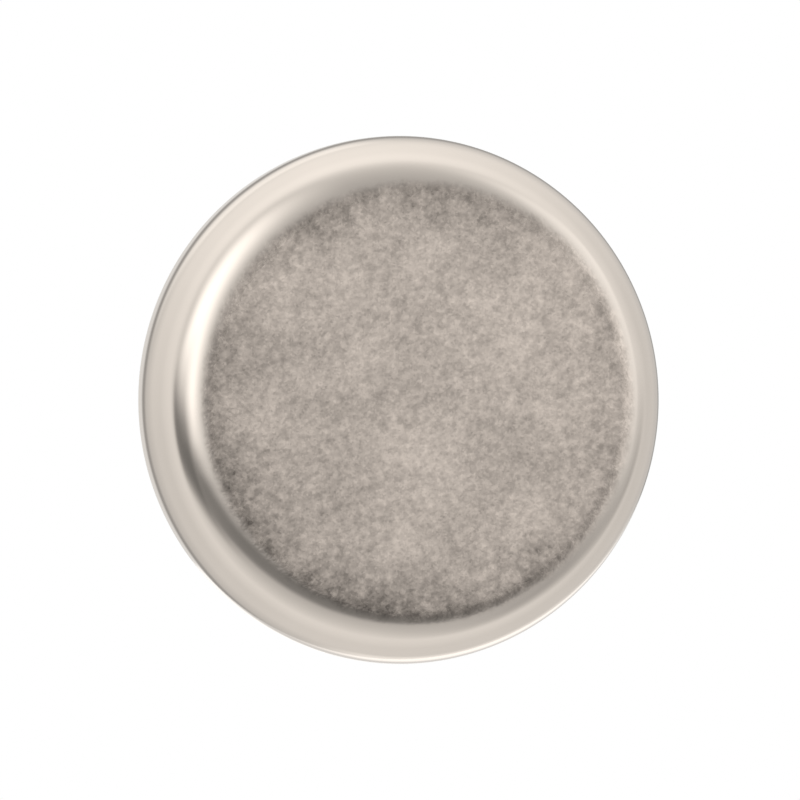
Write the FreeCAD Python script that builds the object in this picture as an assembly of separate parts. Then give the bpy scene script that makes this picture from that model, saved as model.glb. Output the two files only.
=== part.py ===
import FreeCAD, Part
import math
import os

# A nail on furniture glide, standing on its metal face.
# A drawn steel cup with a flat face slides on the floor. Its rim is rolled in over the
# flange of a rubber cushion, and a nail with a broad flat head stands up through both.
# Millimetres. +Z runs along the nail, towards its point, and z = 0 is the sliding face.

# The cup, in one thickness of sheet steel
cap_diameter = 27.0
shoulder_radius = 2.8
wall_height = 0.6
lip_flat = 0.8
lip_break = 0.15
sheet = 0.8

# The cushion
rim_width = 3.5
cushion_rise = 4.9
cushion_edge = 0.9
bore_mouth = 0.3

# The nail
shank_diameter = 2.4
nail_reach = 19.0
head_diameter = 10.0
head_thickness = 1.2
head_edge = 0.3
neck_flare = 0.6
point_length = 3.6
tip_width = 0.2
grip_show = 3.6
grip_hidden = 0.5
grip_pitch = 0.5
grip_depth = 0.09

# The fits
lip_clearance = 0.12
flange_clearance = 0.05
pocket_clearance = 0.1
bore_clearance = 0.05

# The circles and levels that follow from the sizes above
cap_r = cap_diameter / 2
face_r = cap_r - shoulder_radius
cushion_r = cap_r - rim_width
lip_edge_r = cushion_r + lip_clearance
lip_crest_r = lip_edge_r + lip_flat
rim_radius = cap_r - lip_crest_r
wall_top = shoulder_radius + wall_height
cap_height = wall_top + rim_radius
lip_underside = cap_height - sheet
wall_r = cap_r - sheet
flange_r = wall_r - flange_clearance
flange_top = lip_underside - flange_clearance
cushion_top = cap_height + cushion_rise
shank_r = shank_diameter / 2
bore_r = shank_r + bore_clearance
head_r = head_diameter / 2
head_top = sheet + head_thickness
pocket_r = head_r + pocket_clearance
nail_tip = cushion_top + nail_reach


def at(radius, height):
    return FreeCAD.Vector(radius, 0, height)


def line(start, end):
    return Part.LineSegment(start, end).toShape()


def arc(centre, radius, start, end):
    """A round stretch of a half section. The angles are in degrees, 0 outwards and 90 up."""
    def point(angle):
        turn = math.radians(angle)
        return centre + at(radius * math.cos(turn), radius * math.sin(turn))
    return Part.Arc(point(start), point((start + end) / 2), point(end)).toShape()


def turned(edges):
    """The solid that a closed half section makes when it turns about the nail's axis."""
    section = Part.Face(Part.Wire(edges))
    return section.revolve(FreeCAD.Vector(0, 0, 0), FreeCAD.Vector(0, 0, 1), 360)


def make_cap():
    """The cup in one sheet: flat face, shoulder, wall, and a rim rolled in to a level lip."""
    shoulder_centre = at(face_r, shoulder_radius)
    rim_centre = at(lip_crest_r, wall_top)
    break_r = lip_edge_r + lip_break
    outside = [
        line(at(0, 0), at(face_r, 0)),
        arc(shoulder_centre, shoulder_radius, -90, 0),
        line(at(cap_r, shoulder_radius), at(cap_r, wall_top)),
        arc(rim_centre, rim_radius, 0, 90),
        line(at(lip_crest_r, cap_height), at(break_r, cap_height)),
        line(at(break_r, cap_height), at(lip_edge_r, cap_height - lip_break)),
        line(at(lip_edge_r, cap_height - lip_break), at(lip_edge_r, lip_underside)),
    ]
    inside = [
        line(at(lip_edge_r, lip_underside), at(lip_crest_r, lip_underside)),
        arc(rim_centre, rim_radius - sheet, 90, 0),
        line(at(wall_r, wall_top), at(wall_r, shoulder_radius)),
        arc(shoulder_centre, shoulder_radius - sheet, 0, -90),
        line(at(face_r, sheet), at(0, sheet)),
        line(at(0, sheet), at(0, 0)),
    ]
    return turned(outside + inside)


def cushion_flange():
    """The part of the rubber that the cup holds: a ring with its edges cut off at a slant."""
    foot_end = sheet + flange_r - face_r
    top_start = flange_top - flange_r + lip_crest_r
    return [
        line(at(pocket_r, sheet), at(face_r, sheet)),
        line(at(face_r, sheet), at(flange_r, foot_end)),
        line(at(flange_r, foot_end), at(flange_r, top_start)),
        line(at(flange_r, top_start), at(lip_crest_r, flange_top)),
        line(at(lip_crest_r, flange_top), at(cushion_r, flange_top)),
    ]


def cushion_disc():
    """The disc that shows above the cup, up to the mouth of the nail's bore."""
    edge_r = cushion_r - cushion_edge
    edge_foot = cushion_top - cushion_edge
    return [
        line(at(cushion_r, flange_top), at(cushion_r, edge_foot)),
        arc(at(edge_r, edge_foot), cushion_edge, 0, 90),
        line(at(edge_r, cushion_top), at(bore_r + bore_mouth, cushion_top)),
    ]


def cushion_bore():
    """The bore for the shank, flared for the nail's neck, and the pocket for its head."""
    neck_top = head_top + neck_flare
    mouth_foot = cushion_top - bore_mouth
    return [
        line(at(bore_r + bore_mouth, cushion_top), at(bore_r, mouth_foot)),
        line(at(bore_r, mouth_foot), at(bore_r, neck_top)),
        line(at(bore_r, neck_top), at(bore_r + neck_flare, head_top)),
        line(at(bore_r + neck_flare, head_top), at(pocket_r, head_top)),
        line(at(pocket_r, head_top), at(pocket_r, sheet)),
    ]


def make_cushion():
    """The rubber in one moulding: a flange that fills the cup and a disc above it."""
    return turned(cushion_flange() + cushion_disc() + cushion_bore())


def nail_head():
    """The flat head on the cup's floor, with its edges eased, and the neck up to the shank."""
    edge_r = head_r - head_edge
    low = sheet + head_edge
    high = head_top - head_edge
    neck_r = shank_r + neck_flare
    return [
        line(at(0, sheet), at(edge_r, sheet)),
        line(at(edge_r, sheet), at(head_r, low)),
        line(at(head_r, low), at(head_r, high)),
        line(at(head_r, high), at(edge_r, head_top)),
        line(at(edge_r, head_top), at(neck_r, head_top)),
        line(at(neck_r, head_top), at(shank_r, head_top + neck_flare)),
    ]


def grip_marks(start, end):
    """The rings that the heading dies bite into the shank, as shallow grooves side by side."""
    count = round((end - start) / grip_pitch)
    pitch = (end - start) / count
    root_r = shank_r - grip_depth
    edges = []
    for ring in range(count):
        low = start + ring * pitch
        middle = low + pitch / 2
        edges.append(line(at(shank_r, low), at(root_r, middle)))
        edges.append(line(at(root_r, middle), at(shank_r, low + pitch)))
    return edges


def diamond_point(blank):
    """The four flats that the cutting dies leave, meeting at a slightly blunt tip."""
    foot = nail_tip - point_length
    reach = shank_diameter
    corners = [
        FreeCAD.Vector(shank_r, -reach, foot),
        FreeCAD.Vector(tip_width / 2, -reach, nail_tip),
        FreeCAD.Vector(reach, -reach, nail_tip),
        FreeCAD.Vector(reach, -reach, foot),
    ]
    side = Part.Face(Part.makePolygon(corners + corners[:1]))
    wedge = side.extrude(FreeCAD.Vector(0, 2 * reach, 0))
    for turn in range(4):
        cutter = wedge.copy()
        cutter.rotate(FreeCAD.Vector(0, 0, 0), FreeCAD.Vector(0, 0, 1), 90 * turn)
        blank = blank.cut(cutter)
    return blank


def make_nail():
    """The nail in one piece: head, plain stretch in the rubber, grip marks, shank, point."""
    grip_start = cushion_top - grip_hidden
    grip_end = cushion_top + grip_show
    hidden_shank = [line(at(shank_r, head_top + neck_flare), at(shank_r, grip_start))]
    shank = [
        line(at(shank_r, grip_end), at(shank_r, nail_tip)),
        line(at(shank_r, nail_tip), at(0, nail_tip)),
        line(at(0, nail_tip), at(0, sheet)),
    ]
    blank = turned(nail_head() + hidden_shank + grip_marks(grip_start, grip_end) + shank)
    return diamond_point(blank)


def save(name, shape):
    """Writes one piece, and prints what shows whether it came out whole."""
    piece = shape.Solids[0]
    print(name, "solids", len(shape.Solids), "valid", piece.isValid(), "mm3", round(piece.Volume, 2))
    piece.exportStep("parts/" + name + ".step")


os.makedirs("parts", exist_ok=True)
save("glide_cap", make_cap())
save("cushion", make_cushion())
save("nail", make_nail())
print("cup height", round(cap_height, 3), "cushion top", round(cushion_top, 3), "tip", round(nail_tip, 3))
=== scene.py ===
"""The finished look of a nail on furniture glide, built around its CAD frame.

The nickel cup, the rubber cushion and the nail are turned from half sections that follow
the frame's sizes, given their finishes, and set in a plain pale studio.
"""

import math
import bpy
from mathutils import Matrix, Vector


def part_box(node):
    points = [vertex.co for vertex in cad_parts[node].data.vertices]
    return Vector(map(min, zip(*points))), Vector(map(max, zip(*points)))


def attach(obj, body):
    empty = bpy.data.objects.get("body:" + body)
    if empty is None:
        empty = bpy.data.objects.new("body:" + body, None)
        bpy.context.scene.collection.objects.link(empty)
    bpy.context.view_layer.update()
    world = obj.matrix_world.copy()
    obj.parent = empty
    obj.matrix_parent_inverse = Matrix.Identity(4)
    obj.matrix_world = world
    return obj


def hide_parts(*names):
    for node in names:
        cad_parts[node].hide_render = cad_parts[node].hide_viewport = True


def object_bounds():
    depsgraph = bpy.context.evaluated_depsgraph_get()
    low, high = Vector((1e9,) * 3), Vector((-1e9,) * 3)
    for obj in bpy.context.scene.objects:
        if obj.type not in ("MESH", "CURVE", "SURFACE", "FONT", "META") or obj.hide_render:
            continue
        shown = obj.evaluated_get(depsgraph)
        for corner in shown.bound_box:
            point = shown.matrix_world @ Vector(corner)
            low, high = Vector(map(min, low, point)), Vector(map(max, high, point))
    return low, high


bl_info = {
    "name": "Nail On Furniture Glide",
    "version": (1, 0, 0),
    "blender": (4, 5, 0),
    "location": "3D View > Sidebar > Glide",
    "description": "Builds a nickel furniture glide with a rubber cushion and a nail",
    "category": "Object",
}

import bmesh
import bpy
from bpy.props import FloatProperty, FloatVectorProperty, IntProperty, PointerProperty
from mathutils import Matrix, Vector, noise

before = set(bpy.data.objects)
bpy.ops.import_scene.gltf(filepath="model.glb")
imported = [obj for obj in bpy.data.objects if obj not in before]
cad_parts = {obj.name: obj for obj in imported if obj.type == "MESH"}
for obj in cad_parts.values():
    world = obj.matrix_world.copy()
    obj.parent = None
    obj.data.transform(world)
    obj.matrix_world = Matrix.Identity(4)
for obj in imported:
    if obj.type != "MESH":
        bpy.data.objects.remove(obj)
CAD_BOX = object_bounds()
CUP_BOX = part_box("glide_cap")
CUSHION_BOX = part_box("cushion")
NAIL_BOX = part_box("nail")

MM = 0.001
MICRON = 0.000001
UP = Vector((0, 0, 1))

# Points nearer than this are merged
WELD = 0.2 * MICRON

# How far a holding point stands from the end of a straight run
HOLD = 0.05 * MM

# Faces that meet at less than this shade as one
SHARP_ANGLE = math.radians(28)

# Faces along a quarter bend
OUTER_BEND = 24
INNER_BEND = 12
RUBBER_BEND = 12
LIP_BEND = 5
UNDER_LIP_BEND = 3

# The points of a grip mark, each as a share of the pitch and of the mark's depth
GRIP_MARK = ((0.18, 0), (0.44, 1), (0.56, 1), (0.82, 0))

# Greys of the room, by height from straight below the glide (0) to straight above it (1)
ROOM_LEVELS = (
    (0, 0.485),
    (0.3, 0.96),
    (0.5, 0.82),
    (0.7, 0.83),
    (0.88, 0.68),
    (0.93, 0.4),
    (0.96, 0.4),
    (0.99, 0.85),
)
ROOM_TINT = (1.0, 0.985, 0.96)
WHITE = (1.0, 1.0, 1.0)


# Sizes and finishes that a user would change


def length(name, description, default):
    """A size in metres."""
    return FloatProperty(
        name=name, description=description, default=default, unit="LENGTH", precision=5
    )


def factor(name, description, default):
    """A share from 0 to 1."""
    return FloatProperty(
        name=name, description=description, default=default, subtype="FACTOR", min=0, max=1
    )


def angle(name, description, degrees):
    """An angle, kept in radians."""
    return FloatProperty(
        name=name, description=description, default=math.radians(degrees), subtype="ANGLE"
    )


def colour(name, description, default):
    """A linear colour."""
    return FloatVectorProperty(
        name=name, description=description, default=default, subtype="COLOR", min=0, max=1
    )


def count(name, description, default):
    """A whole number of steps."""
    return IntProperty(name=name, description=description, default=default, min=3)


class CupSettings(bpy.types.PropertyGroup):
    """Sizes and finishes of the drawn cup"""

    radius: length("Radius", "Widest radius of the cup", CUP_BOX[1].x)
    height: length("Height", "From the sliding face to the crest of the rim", CUP_BOX[1].z)
    sheet: length("Sheet", "Thickness of the drawn steel", 0.8 * MM)
    shoulder: length("Shoulder", "Outer radius of the bend from the face to the wall", 2.8 * MM)
    rim: length("Rim", "Outer radius of the rolled rim", 2.58 * MM)
    lip_radius: length("Lip radius", "Inner radius of the rim's opening", 10.12 * MM)
    lip_break: length("Lip rounding", "Rounding of the lip's upper edge", 0.15 * MM)
    polished: colour("Polished nickel", "Shoulder, wall and rim", (0.722, 0.667, 0.616))
    satin: colour("Satin nickel", "Sliding face", (0.627, 0.562, 0.512))
    polished_roughness: factor("Polished roughness", "Shoulder, wall and rim", 0.12)
    satin_roughness: factor("Satin roughness", "Sliding face", 0.4)
    steps: count("Steps", "Faces round the cup", 256)


class CushionSettings(bpy.types.PropertyGroup):
    """Sizes and finish of the rubber cushion"""

    radius: length("Radius", "Radius of the part that shows above the rim", 10.0 * MM)
    edge: length("Edge rounding", "Rounding of the upper edge", 0.9 * MM)
    bore: length("Bore radius", "Radius of the hole for the nail", 1.25 * MM)
    mouth: length("Bore mouth", "Width of the slant at the top of the bore", 0.3 * MM)
    pocket: length("Pocket radius", "Radius of the pocket for the nail's head", 5.1 * MM)
    rubber: colour("Rubber", "Colour of the moulded rubber", (0.016, 0.016, 0.0165))
    roughness: factor("Roughness", "Roughness of the rubber", 0.5)
    steps: count("Steps", "Faces round the cushion", 192)


class NailSettings(bpy.types.PropertyGroup):
    """Sizes and finish of the nail"""

    shank: length("Shank radius", "Radius of the wire", 1.2 * MM)
    head_thickness: length("Head thickness", "Thickness of the flat head", 1.2 * MM)
    head_edge: length("Head edge", "Slant that eases the head's edges", 0.3 * MM)
    neck: length("Neck flare", "Width and height of the slant under the head", 0.6 * MM)
    point: length("Point length", "Length of the four cut flats", 3.6 * MM)
    tip: length("Tip width", "Width across the blunt tip", 0.2 * MM)
    grip_below: length("Grip below", "How far the grip marks reach into the cushion", 0.5 * MM)
    grip_above: length("Grip above", "How far the grip marks reach above the cushion", 3.6 * MM)
    grip_depth: length("Grip depth", "Depth of the deepest grip mark", 0.09 * MM)
    grips: count("Grip marks", "Number of grip marks", 8)
    nickel: colour("Nail nickel", "Colour of the plated wire", (0.72, 0.67, 0.61))
    roughness: factor("Roughness", "Roughness of the plated wire", 0.27)
    steps: count("Steps", "Faces round the wire", 96)


class StudioSettings(bpy.types.PropertyGroup):
    """The camera's place and the floor"""

    lean: angle("Lean", "How far the view leans from the cup's axis", 12.5)
    lens: FloatProperty(name="Lens", description="Focal length", default=400, unit="CAMERA")
    fill: factor("Fill", "Share of the frame that the cup's width takes", 0.66)
    floor_radius: length("Floor radius", "Radius of the pale floor", 0.6)
    floor: colour("Floor", "Colour of the pale floor", (0.86, 0.855, 0.845))


# Half sections and turned pieces


class HalfSection:
    """A wire in the XZ plane, drawn from point to point, that is then turned about the Z axis."""

    def __init__(self, radius, height):
        self.bm = bmesh.new()
        self.start = self.bm.verts.new((radius, 0, height))
        self.end = self.start

    def step_to(self, place):
        """A straight run with no holding points."""
        grown = bmesh.ops.extrude_vert_indiv(self.bm, verts=[self.end])["verts"][0]
        grown.co = place
        self.end = grown

    def line(self, radius, height):
        """A straight run. A long one has a holding point near each end, so that it stays flat."""
        start = self.end.co.copy()
        goal = Vector((radius, 0, height))
        run = goal - start
        if run.length > 4 * HOLD:
            self.step_to(start + run.normalized() * HOLD)
            self.step_to(goal - run.normalized() * HOLD)
        self.step_to(goal)

    def bend(self, radius, height, degrees, steps):
        """A round run about a centre, anticlockwise where degrees is above 0."""
        turned = bmesh.ops.spin(
            self.bm,
            geom=[self.end],
            cent=(radius, 0, height),
            axis=(0, -1, 0),
            dvec=(0, 0, 0),
            angle=math.radians(degrees),
            steps=steps,
            use_merge=False,
            use_duplicate=False,
        )
        self.end = [v for v in turned["geom_last"] if isinstance(v, bmesh.types.BMVert)][0]

    def close(self):
        """Draws the last run, back to the start, of a section that stays clear of the axis."""
        self.line(self.start.co.x, self.start.co.z)

    def turn(self, steps):
        """Turns the section once round the Z axis, and returns the closed shell."""
        bmesh.ops.remove_doubles(self.bm, verts=self.bm.verts, dist=WELD)
        bmesh.ops.spin(
            self.bm,
            geom=self.bm.verts[:] + self.bm.edges[:],
            cent=(0, 0, 0),
            axis=UP,
            dvec=(0, 0, 0),
            angle=2 * math.pi,
            steps=steps,
            use_merge=True,
            use_duplicate=False,
        )
        bmesh.ops.remove_doubles(self.bm, verts=self.bm.verts, dist=WELD)
        bmesh.ops.recalc_face_normals(self.bm, faces=self.bm.faces)
        return self.bm


def show_piece(bm, name, node, material):
    """Makes the shown piece that stands for a CAD node, after a test that its shell is closed."""
    bmesh.ops.remove_doubles(bm, verts=bm.verts, dist=WELD)
    bmesh.ops.recalc_face_normals(bm, faces=bm.faces)
    if any(len(edge.link_faces) != 2 for edge in bm.edges):
        raise RuntimeError(name + ": the shell has an open edge")
    if bm.calc_volume(signed=True) <= 0:
        raise RuntimeError(name + ": the shell is inside out")
    mesh = bpy.data.meshes.new(name)
    bm.to_mesh(mesh)
    bm.free()
    mesh.polygons.foreach_set("use_smooth", [True] * len(mesh.polygons))
    mesh.set_sharp_from_angle(angle=SHARP_ANGLE)
    mesh.materials.append(material)
    piece = bpy.data.objects.new(name, mesh)
    bpy.context.scene.collection.objects.link(piece)
    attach(piece, "root")
    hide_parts(node)


def cup_shell(cup):
    """The drawn cup: flat face, shoulder, wall, and the rim rolled in to a level lip."""
    face_radius = cup.radius - cup.shoulder
    crest_radius = cup.radius - cup.rim
    rim_foot = cup.height - cup.rim
    underside = cup.height - cup.sheet
    inner_wall = cup.radius - cup.sheet
    under_break = cup.lip_break / 3
    section = HalfSection(0, 0)
    section.line(face_radius, 0)
    section.bend(face_radius, cup.shoulder, 90, OUTER_BEND)
    section.line(cup.radius, rim_foot)
    section.bend(crest_radius, rim_foot, 90, OUTER_BEND)
    section.line(cup.lip_radius + cup.lip_break, cup.height)
    section.bend(cup.lip_radius + cup.lip_break, cup.height - cup.lip_break, 90, LIP_BEND)
    section.line(cup.lip_radius, underside + under_break)
    section.bend(cup.lip_radius + under_break, underside + under_break, 90, UNDER_LIP_BEND)
    section.line(crest_radius, underside)
    section.bend(crest_radius, rim_foot, -90, INNER_BEND)
    section.line(inner_wall, cup.shoulder)
    section.bend(face_radius, cup.shoulder, -90, INNER_BEND)
    section.line(0, cup.sheet)
    return section.turn(cup.steps)


def cushion_disc(cushion, cup, nail):
    """The rubber: a ring that the rim holds, and the disc above it with its bore and pocket."""
    low, high = CUSHION_BOX
    clearance = cup.radius - cup.sheet - high.x
    flange_top = cup.height - cup.sheet - clearance
    foot_slant = cup.shoulder - cup.sheet - clearance
    top_slant = cup.rim - cup.sheet - clearance
    head_top = low.z + nail.head_thickness
    section = HalfSection(cushion.pocket, low.z)
    section.line(high.x - foot_slant, low.z)
    section.line(high.x, low.z + foot_slant)
    section.line(high.x, flange_top - top_slant)
    section.line(high.x - top_slant, flange_top)
    section.line(cushion.radius, flange_top)
    section.line(cushion.radius, high.z - cushion.edge)
    section.bend(cushion.radius - cushion.edge, high.z - cushion.edge, 90, RUBBER_BEND)
    section.line(cushion.bore + cushion.mouth, high.z)
    section.line(cushion.bore, high.z - cushion.mouth)
    section.line(cushion.bore, head_top + nail.neck)
    section.line(cushion.bore + nail.neck, head_top)
    section.line(cushion.pocket, head_top)
    section.close()
    return section.turn(cushion.steps)


def nail_blank(nail):
    """The nail before its point is cut: head, neck, shank and the ringed stretch of grip marks."""
    low, high = NAIL_BOX
    head_radius = high.x
    head_top = low.z + nail.head_thickness
    grip_start = CUSHION_BOX[1].z - nail.grip_below
    pitch = (nail.grip_below + nail.grip_above) / nail.grips
    section = HalfSection(0, low.z)
    section.line(head_radius - nail.head_edge, low.z)
    section.line(head_radius, low.z + nail.head_edge)
    section.line(head_radius, head_top - nail.head_edge)
    section.line(head_radius - nail.head_edge, head_top)
    section.line(nail.shank + nail.neck, head_top)
    section.line(nail.shank, head_top + nail.neck)
    section.line(nail.shank, grip_start)
    for ring in range(nail.grips):
        foot = grip_start + ring * pitch
        for rise, sink in GRIP_MARK:
            radius = nail.shank - sink * nail.grip_depth
            section.step_to(Vector((radius, 0, foot + rise * pitch)))
    section.step_to(Vector((nail.shank, 0, grip_start + nail.grips * pitch)))
    section.line(nail.shank, high.z)
    section.line(0, high.z)
    return section.turn(nail.steps)


def wear_grips(bm, nail):
    """Fades each grip mark in and out round the wire, as uneven dies leave it.

    The dies press along X, so the marks are deep on those two sides and fill up between them.
    """
    root = nail.shank - nail.grip_depth
    grip_start = CUSHION_BOX[1].z - nail.grip_below
    for vert in bm.verts:
        radius = vert.co.xy.length
        if abs(radius - root) > WELD or vert.co.z < grip_start:
            continue
        around = vert.co.xy.normalized()
        pressed = around.x * around.x
        patchy = noise.noise(Vector((around.x * 1.7, around.y * 1.7, vert.co.z / MM * 1.3)))
        filled = min(1, max(0, 1.15 - 0.95 * pressed - 0.7 * patchy))
        grown = radius + nail.grip_depth * filled
        vert.co.x = around.x * grown
        vert.co.y = around.y * grown


def cut_point(bm, nail):
    """Cuts the four flats of the point, which meet at a slightly blunt tip."""
    tip = NAIL_BOX[1].z
    foot = Vector((nail.shank, 0, tip - nail.point))
    slope = Vector((nail.point, 0, nail.shank - nail.tip / 2)).normalized()
    for turn in range(4):
        way = Matrix.Rotation(turn * math.pi / 2, 3, "Z")
        cut = bmesh.ops.bisect_plane(
            bm,
            geom=bm.verts[:] + bm.edges[:] + bm.faces[:],
            dist=WELD,
            plane_co=way @ foot,
            plane_no=way @ slope,
            clear_outer=True,
        )
        edges = [g for g in cut["geom_cut"] if isinstance(g, bmesh.types.BMEdge)]
        bmesh.ops.edgeloop_fill(bm, edges=edges)


# Finishes


class Wire:
    """What one shader socket carries. Sums and products of wires write Math nodes."""

    def __init__(self, tree, socket=None):
        self.tree = tree
        self.socket = socket

    def node(self, kind, settings, sockets, output=0):
        """Adds a node: its settings first, then the values or wires of its sockets."""
        made = self.tree.nodes.new(kind)
        for name, value in settings.items():
            if name == "stops":
                set_stops(made.color_ramp, value)
            else:
                setattr(made, name, value)
        for key, value in sockets.items():
            if isinstance(value, Wire):
                self.tree.links.new(value.socket, made.inputs[key])
            else:
                made.inputs[key].default_value = value
        return Wire(self.tree, made.outputs[output]) if made.outputs else None

    def beside(self, output):
        """Another output of the node that this wire leaves."""
        return Wire(self.tree, self.socket.node.outputs[output])

    def maths(self, operation, *values, clamp=False):
        """The result of one Math node."""
        settings = {"operation": operation, "use_clamp": clamp}
        return self.node("ShaderNodeMath", settings, dict(enumerate(values)))

    def __add__(self, other):
        return self.maths("ADD", self, other)

    def __radd__(self, other):
        return self.maths("ADD", other, self)

    def __sub__(self, other):
        return self.maths("SUBTRACT", self, other)

    def __rsub__(self, other):
        return self.maths("SUBTRACT", other, self)

    def __mul__(self, other):
        return self.maths("MULTIPLY", self, other)

    def __rmul__(self, other):
        return self.maths("MULTIPLY", other, self)

    def __truediv__(self, other):
        return self.maths("DIVIDE", self, other)

    def __pow__(self, power):
        return self.maths("POWER", self, power)

    def clamped(self):
        """This wire, kept from 0 to 1."""
        return self.maths("ADD", self, 0.0, clamp=True)

    def at_least(self, other):
        """The higher of this wire and another value."""
        return self.maths("MAXIMUM", self, other)

    def between(self, low, high):
        """0 up to low, 1 from high on, and a smooth rise between them."""
        settings = {"interpolation_type": "SMOOTHSTEP"}
        sockets = {"Value": self, "From Min": low, "From Max": high}
        return self.node("ShaderNodeMapRange", settings, sockets)

    def mix(self, low, high):
        """A colour between low, where this wire is 0, and high, where it is 1."""
        # A Mix node has its colours on sockets 6 and 7, and their mix on output 2
        settings = {"data_type": "RGBA", "blend_type": "MIX"}
        sockets = {"Factor": self, 6: solid(low), 7: solid(high)}
        return self.node("ShaderNodeMix", settings, sockets, output=2)

    def shade(self, base):
        """A colour multiplied by this wire."""
        return self.node(
            "ShaderNodeVectorMath", {"operation": "SCALE"}, {0: base, "Scale": self}
        )


def solid(value):
    """A colour as a socket takes it: a wire stays, and three numbers get their alpha."""
    return value if isinstance(value, Wire) else (*value, 1)


def set_stops(ramp, stops):
    """Gives a colour ramp its stops, each a place and a grey."""
    while len(ramp.elements) < len(stops):
        ramp.elements.new(1)
    for element, (place, grey) in zip(ramp.elements, stops):
        element.position = place
        element.color = (grey, grey, grey, 1)


class Finish(Wire):
    """The material of one piece, with the places that its patterns are made from."""

    def __init__(self, name):
        self.material = bpy.data.materials.new(name)
        self.material.use_nodes = True
        super().__init__(self.material.node_tree)
        self.tree.nodes.clear()
        self.place = self.node("ShaderNodeTexCoord", {}, {}, output="Object")
        self.x = self.node("ShaderNodeSeparateXYZ", {}, {0: self.place}, output="X")
        self.y = self.x.beside("Y")
        self.z = self.x.beside("Z")
        self.radius = (self.x * self.x + self.y * self.y) ** 0.5
        shift = (0.043, 0.021, 0.037)
        turn = (0.6, 0.4, 0.3)
        sockets = {"Vector": self.place, "Location": shift, "Rotation": turn}
        self.aslant = self.node("ShaderNodeMapping", {}, sockets)

    def grain(self, width, detail=2.0, place=None):
        """Noise around 0 whose lumps are about as wide as given.

        It is read aslant and far from its centre, so that its lattice doesn't show on a face.
        """
        sockets = {"Vector": place or self.aslant, "Scale": 1 / width, "Detail": detail}
        return self.node("ShaderNodeTexNoise", {}, sockets) - 0.5

    def grit(self, width):
        """Small flat grains about as wide as given, each with its own level around 0."""
        sockets = {"Vector": self.aslant, "Scale": 1 / width}
        levels = self.node("ShaderNodeTexVoronoi", {}, sockets, output="Color")
        return self.node("ShaderNodeSeparateColor", {}, {0: levels}, output="Red") - 0.5

    def streaks(self, size, turn=(0, 0, 0), detail=2.0):
        """Noise around 0 that is drawn out to a size along each axis, after a turn."""
        settings = {"vector_type": "TEXTURE"}
        sockets = {"Vector": self.place, "Rotation": turn, "Scale": size}
        drawn = self.node("ShaderNodeMapping", settings, sockets)
        return self.grain(1.0, detail, drawn)

    def bump(self, height, depth):
        """Normals that follow a height, whose full step is depth metres."""
        sockets = {"Height": height, "Distance": depth, "Strength": 1.0}
        return self.node("ShaderNodeBump", {}, sockets)

    def surface(self, **values):
        """Ends the material in one Principled shader."""
        sockets = {name.replace("_", " "): value for name, value in values.items()}
        shader = self.node("ShaderNodeBsdfPrincipled", {}, sockets)
        self.node("ShaderNodeOutputMaterial", {}, {"Surface": shader})
        return self.material


def satin_limits(finish, face_edge):
    """How far the satin's colour and its dullness reach: 1 on the face, 0 on the shoulder.

    Both end unevenly round the edge, and neither is on the cup's inside.
    """
    uneven = finish.grain(0.7 * MM) * (0.35 * MM) + finish.x * 0.032 + finish.y * 0.008
    border = finish.radius + uneven
    outside = 1 - finish.z.between(0.2 * MM, 0.4 * MM)
    satin = (1 - border.between(face_edge + 0.1 * MM, face_edge + 0.75 * MM)) * outside
    dull = (1 - border.between(face_edge - 0.5 * MM, face_edge + 0.45 * MM)) * outside
    return satin, dull


def satin_scratches(finish):
    """A few fine scratches on the sliding face, in three directions."""
    size = (3.2 * MM, 0.05 * MM, 9 * MM)
    turns = [math.radians(degrees) for degrees in (-38, 12, 74)]
    return sum_of(finish.streaks(size, (0, 0, turn)).between(0.2, 0.26) for turn in turns)


def satin_tone(finish, face_edge, speckle):
    """How light the satin is: grit and specks, broad clouds, painted shade and light, scratches.

    The painted shade lies near the edge, darkest at the lower left and at the top, as the face is
    seen.
    """
    grit = finish.grit(0.12 * MM)
    blotch = finish.grain(1.2 * MM, detail=1)
    cloud = blotch * 0.32 + finish.grain(4.5 * MM, detail=1) * 0.62
    near_edge = finish.radius.between(face_edge - 3.4 * MM, face_edge + 0.8 * MM)
    specks = (speckle + near_edge * blotch * 0.8) * (0.48 + near_edge * 0.16)
    from_middle = finish.radius + 1 * MM
    lower_left = ((finish.x * 0.5 - finish.y * 0.87) / from_middle).between(0.0, 0.95)
    top = (finish.y / from_middle).between(0.45, 1.0)
    # Painted shade: the satin is darkened in a ring near the edge, most at the lower left and the
    # top
    painted_edge_shade = near_edge * (0.1 + lower_left * 0.38 + top * 0.32)
    tone = 1.155 + grit * 0.26 + specks + cloud - painted_edge_shade
    # Painted light: the face is lighter towards -X and +Y, the right and the top as the face is
    # seen
    tone = tone - finish.x * 6.5 + finish.y * 1.5
    return tone + satin_scratches(finish) * 0.18


def cup_nickel(cup):
    """Nickel plate on the cup: a satin sliding face within a polished shoulder and rim."""
    finish = Finish("cup_nickel")
    face_edge = cup.radius - cup.shoulder
    satin, dull = satin_limits(finish, face_edge)
    speckle = finish.grain(0.42 * MM, detail=1) * 1.1 + finish.grain(0.22 * MM) * 0.4
    satin_colour = satin_tone(finish, face_edge, speckle).shade(cup.satin)
    polish_tone = 1 + finish.grain(3.0 * MM) * 0.05
    polished_colour = polish_tone.shade(cup.polished)
    polished_rough = cup.polished_roughness + finish.grain(1.5 * MM) * 0.06
    satin_rough = cup.satin_roughness + speckle * 0.2
    roughness = polished_rough + dull * (satin_rough - polished_rough)
    ripple = finish.grain(2.4 * MM, detail=1) * 0.5
    tooth = finish.grain(0.15 * MM, detail=3) * 0.6 + speckle * 0.9
    height = ripple + satin * (tooth - ripple)
    return finish.surface(
        Base_Color=satin.mix(polished_colour, satin_colour),
        Metallic=1.0,
        Roughness=roughness.clamped(),
        Normal=finish.bump(height, 16 * MICRON),
    )


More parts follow.
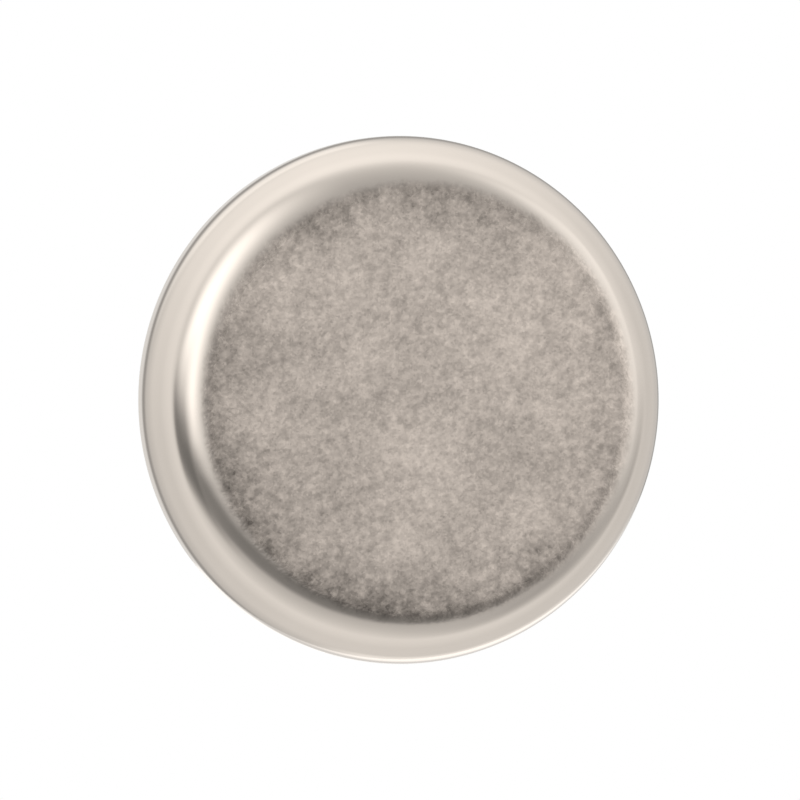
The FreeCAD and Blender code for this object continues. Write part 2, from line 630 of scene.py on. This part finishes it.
def moulded_rubber(cushion):
    """Black rubber with the fine grain of its mould and a little dust in the sheen."""
    finish = Finish("moulded_rubber")
    fine = finish.grain(0.12 * MM, detail=3)
    cloud = finish.grain(1.6 * MM)
    bloom = finish.grain(4.5 * MM, detail=3).between(-0.05, 0.25)
    tone = 1 + fine * 0.5 + cloud * 0.4 + bloom * 0.6
    roughness = cushion.roughness + cloud * 0.25 + fine * 0.15 + bloom * 0.08
    return finish.surface(
        Base_Color=tone.shade(cushion.rubber),
        Specular_IOR_Level=0.3,
        Roughness=roughness.clamped(),
        Normal=finish.bump(fine * 0.8 + cloud, 12 * MICRON),
    )


def nail_nickel(nail):
    """Nickel plate on drawn wire: faint draw lines, dark grip marks, and rougher cut flats."""
    finish = Finish("nail_nickel")
    tip = NAIL_BOX[1].z
    root = nail.shank - nail.grip_depth
    drawn = finish.streaks((0.11 * MM, 0.11 * MM, 6 * MM), detail=3)
    speckle = finish.grain(0.3 * MM)
    thinned = 1 - finish.radius.between(nail.shank - 0.03 * MM, nail.shank - 0.008 * MM)
    cut = thinned * finish.z.between(tip - nail.point - 0.1 * MM, tip - nail.point)
    rubber_top = CUSHION_BOX[1].z
    gripped = finish.z.between(rubber_top - 1 * MM, rubber_top - 0.9 * MM) * (1 - cut)
    deep = (1 - finish.radius.between(root, nail.shank - 0.1 * nail.grip_depth)) * gripped
    tone = 1 + drawn * 0.22 + speckle * 0.18 - deep * 0.35 - cut * (0.06 - speckle * 0.2)
    roughness = nail.roughness + drawn * 0.12 + deep * 0.15 + cut * 0.1
    height = drawn * (1 - cut) + speckle * (0.5 + cut)
    return finish.surface(
        Base_Color=tone.shade(nail.nickel),
        Metallic=1.0,
        Roughness=roughness.clamped(),
        Normal=finish.bump(height, 9 * MICRON),
    )


def sum_of(wires):
    """The sum of several wires."""
    total = None
    for wire in wires:
        total = wire if total is None else total + wire
    return total


# The studio


def pale_floor(studio):
    """A floor that only the camera sees, and from above only. It fades into the white round it."""
    finish = Finish("pale_floor")
    path = finish.node("ShaderNodeLightPath", {}, {}, output="Is Camera Ray")
    behind = finish.node("ShaderNodeNewGeometry", {}, {}, output="Backfacing")
    near = 1 - finish.radius.between(0.15 * studio.floor_radius, 0.7 * studio.floor_radius)
    shown = path * (1 - behind) * near
    clear = finish.node("ShaderNodeBsdfTransparent", {}, {})
    paint = finish.node("ShaderNodeBsdfDiffuse", {}, {"Color": (*studio.floor, 1)})
    mixed = finish.node("ShaderNodeMixShader", {}, {"Fac": shown, 1: clear, 2: paint})
    finish.node("ShaderNodeOutputMaterial", {}, {"Surface": mixed})
    return finish.material


def lay_floor(studio):
    """A round floor just under the sliding face, which takes the glide's shadow."""
    bm = bmesh.new()
    drop = Matrix.Translation((0, 0, -0.02 * MM))
    bmesh.ops.create_circle(
        bm, cap_ends=True, cap_tris=True, segments=96, radius=studio.floor_radius, matrix=drop
    )
    for face in bm.faces:
        if face.normal.z < 0:
            face.normal_flip()
    mesh = bpy.data.meshes.new("studio_floor")
    bm.to_mesh(mesh)
    bm.free()
    mesh.materials.append(pale_floor(studio))
    floor = bpy.data.objects.new("studio_floor", mesh)
    bpy.context.scene.collection.objects.link(floor)


def inside(wire, low, high, soft):
    """1 where a wire lies between two values, and 0 beyond them, with soft limits."""
    return wire.between(low - soft, low + soft) * (1 - wire.between(high - soft, high + soft))


def below_panels(x, y, z):
    """The soft panels that light the sliding face, and the darker shapes beside them.

    They hang in a level plane below the glide. In the face's view +X is left and +Y is up.
    """
    down = 0 - z
    depth = down.at_least(0.1)
    left = x / depth
    up = y / depth
    lower = down.between(0.1, 0.3)
    tall = (left - up * 0.22).between(-0.25, 0.4) * (1 - left.between(0.55, 1.45))
    tall = tall * up.between(-0.3, 0.05) * (1 - up.between(0.3, 1.5))
    right = inside(left, -1.9, -0.7, 0.35) * inside(up, -0.35, 1.25, 0.35)
    foot = inside(up, -0.58, -0.14, 0.12) * inside(left, -0.7, 1.2, 0.6) * 0.54
    side = inside(left, 0.5, 1.6, 0.26) * inside(up, -0.65, 0.12, 0.28) * 0.7
    corner = inside(left, -8.0, -0.6, 0.5) * inside(up, -1.6, -0.25, 0.8) * 0.4
    dark = foot.at_least(side).at_least(corner)
    return lower * (tall * 1.2 + right * 0.3), lower * dark


def side_panels(x, y, z):
    """The walls, palest towards +Y, and the soft windows above that light the rim's top."""
    level = z.between(-0.7, -0.2) * (1 - z.between(0.5, 0.95))
    walls = level * (y * 0.15 + x * 0.04 + y * y * 0.2 + x * y * 0.05)
    high_back = inside(z, 0.55, 0.8, 0.08) * inside(x, -0.1, 0.6, 0.12) * y.between(0.1, 0.3)
    high_front = inside(z, 0.5, 0.78, 0.08) * inside(x, -0.65, 0.0, 0.12)
    high_front = high_front * (1 - y.between(-0.3, -0.1))
    return walls + (high_back + high_front) * 0.35


def light_world():
    """White to the camera, and to all else a pale room with soft panels.

    The room is darker straight below the glide and in a ring round the middle of its ceiling.
    """
    world = bpy.data.worlds.new("studio_room")
    world.use_nodes = True
    world.node_tree.nodes.clear()
    room = Wire(world.node_tree)
    way = room.node("ShaderNodeTexCoord", {}, {}, output="Generated")
    x = room.node("ShaderNodeSeparateXYZ", {}, {0: way}, output="X")
    y, z = x.beside("Y"), x.beside("Z")
    bright, dark = below_panels(x, y, z)
    levels = room.node("ShaderNodeValToRGB", {"stops": ROOM_LEVELS}, {"Fac": z * 0.5 + 0.5})
    grey = room.node("ShaderNodeRGBToBW", {}, {0: levels})
    tone = (grey + bright + side_panels(x, y, z)) * (1 - dark)
    seen = room.node("ShaderNodeLightPath", {}, {}, output="Is Camera Ray")
    colours = seen.mix(tone.shade(ROOM_TINT), WHITE)
    sky = room.node("ShaderNodeBackground", {}, {"Color": colours, "Strength": 1.0})
    room.node("ShaderNodeOutputWorld", {}, {"Surface": sky})
    bpy.context.scene.world = world


def pointing(way):
    """The turn that faces something along a direction."""
    return way.to_track_quat("-Z", "Y").to_matrix().to_4x4()


def hang_softbox(name, way, distance, width, brightness):
    """A round soft lamp that shines on the glide from a direction. The camera doesn't see it.

    Its power goes with the area of its disc, so a wider lamp gives more light.
    """
    data = bpy.data.lights.new(name, "AREA")
    data.shape = "DISK"
    data.size = width
    disc_area = math.pi * (width / 2) ** 2
    data.energy = brightness * math.pi * disc_area
    lamp = bpy.data.objects.new(name, data)
    bpy.context.scene.collection.objects.link(lamp)
    target = (CAD_BOX[0] + CAD_BOX[1]) / 2
    lamp.matrix_world = Matrix.Translation(target + way * distance) @ pointing(-way)
    lamp.visible_camera = False


def above(azimuth, elevation):
    """A direction above the floor. Azimuth 0 is towards -Y and 90 is towards +X."""
    turn = math.radians(azimuth)
    rise = math.radians(elevation)
    side = Vector((math.sin(turn), -math.cos(turn), 0))
    return side * math.cos(rise) + UP * math.sin(rise)


def hang_lamps():
    """One broad lamp overhead, for the shadow on the floor."""
    hang_softbox("top_softbox", above(-30, 58), distance=0.45, width=0.4, brightness=0.4)


def place_camera(studio):
    """The view of the sliding face, leaning a little towards +X."""
    data = bpy.data.cameras.new("face_view")
    data.lens = studio.lens
    data.clip_start = 1 * MM
    data.clip_end = 5
    camera = bpy.data.objects.new("face_view", data)
    bpy.context.scene.collection.objects.link(camera)
    bpy.context.scene.camera = camera
    back = Vector((math.sin(studio.lean), 0, -math.cos(studio.lean)))
    top = Vector((0, 1, 0))
    turn = Matrix((top.cross(back), top, back)).transposed().to_4x4()
    frame_width = (CUP_BOX[1].x - CUP_BOX[0].x) / studio.fill
    distance = frame_width * data.lens / data.sensor_width
    target = Vector((0, 0, (CUP_BOX[0].z + CUP_BOX[1].z) / 2))
    camera.matrix_world = Matrix.Translation(target + back * distance) @ turn


# Operators, panel and registration


class BuildCup(bpy.types.Operator):
    """Builds the drawn nickel cup"""

    bl_idname = "glide.build_cup"
    bl_label = "Build Cup"

    def execute(self, context):
        cup = context.scene.glide_cup
        show_piece(cup_shell(cup), "cup_shell", "glide_cap", cup_nickel(cup))
        return {"FINISHED"}


class BuildCushion(bpy.types.Operator):
    """Builds the rubber cushion"""

    bl_idname = "glide.build_cushion"
    bl_label = "Build Cushion"

    def execute(self, context):
        scene = context.scene
        disc = cushion_disc(scene.glide_cushion, scene.glide_cup, scene.glide_nail)
        rubber = moulded_rubber(scene.glide_cushion)
        show_piece(disc, "cushion_disc", "cushion", rubber)
        return {"FINISHED"}


class BuildNail(bpy.types.Operator):
    """Builds the nail with its head, grip marks and cut point"""

    bl_idname = "glide.build_nail"
    bl_label = "Build Nail"

    def execute(self, context):
        nail = context.scene.glide_nail
        wire = nail_blank(nail)
        wear_grips(wire, nail)
        cut_point(wire, nail)
        show_piece(wire, "nail_wire", "nail", nail_nickel(nail))
        return {"FINISHED"}


class SetStage(bpy.types.Operator):
    """Lays the floor, lights the studio and places the camera"""

    bl_idname = "glide.set_stage"
    bl_label = "Set Stage"

    def execute(self, context):
        studio = context.scene.glide_studio
        context.scene.view_settings.view_transform = "Standard"
        lay_floor(studio)
        light_world()
        hang_lamps()
        place_camera(studio)
        return {"FINISHED"}


class GlidePanel(bpy.types.Panel):
    """Sizes and finishes of the glide, and the buttons that build it"""

    bl_idname = "VIEW3D_PT_furniture_glide"
    bl_label = "Furniture Glide"
    bl_space_type = "VIEW_3D"
    bl_region_type = "UI"
    bl_category = "Glide"

    def draw(self, context):
        for settings, operator in BUILD_ORDER:
            group = getattr(context.scene, settings)
            box = self.layout.box()
            for name in group.bl_rna.properties.keys():
                if name not in ("rna_type", "name"):
                    box.prop(group, name)
            box.operator(operator.bl_idname)


BUILD_ORDER = [
    ("glide_cup", BuildCup),
    ("glide_cushion", BuildCushion),
    ("glide_nail", BuildNail),
    ("glide_studio", SetStage),
]
SETTINGS = {
    "glide_cup": CupSettings,
    "glide_cushion": CushionSettings,
    "glide_nail": NailSettings,
    "glide_studio": StudioSettings,
}
CLASSES = [*SETTINGS.values(), BuildCup, BuildCushion, BuildNail, SetStage, GlidePanel]


def register():
    """Registers the settings, the operators and the panel."""
    for cls in CLASSES:
        bpy.utils.register_class(cls)
    for name, cls in SETTINGS.items():
        setattr(bpy.types.Scene, name, PointerProperty(type=cls))


def unregister():
    """Takes the settings, the operators and the panel away again."""
    for name in SETTINGS:
        delattr(bpy.types.Scene, name)
    for cls in reversed(CLASSES):
        bpy.utils.unregister_class(cls)


def main():
    """Builds every piece in order."""
    register()
    bpy.ops.glide.build_cup()
    bpy.ops.glide.build_cushion()
    bpy.ops.glide.build_nail()
    bpy.ops.glide.set_stage()


if __name__ == "__main__":
    main()
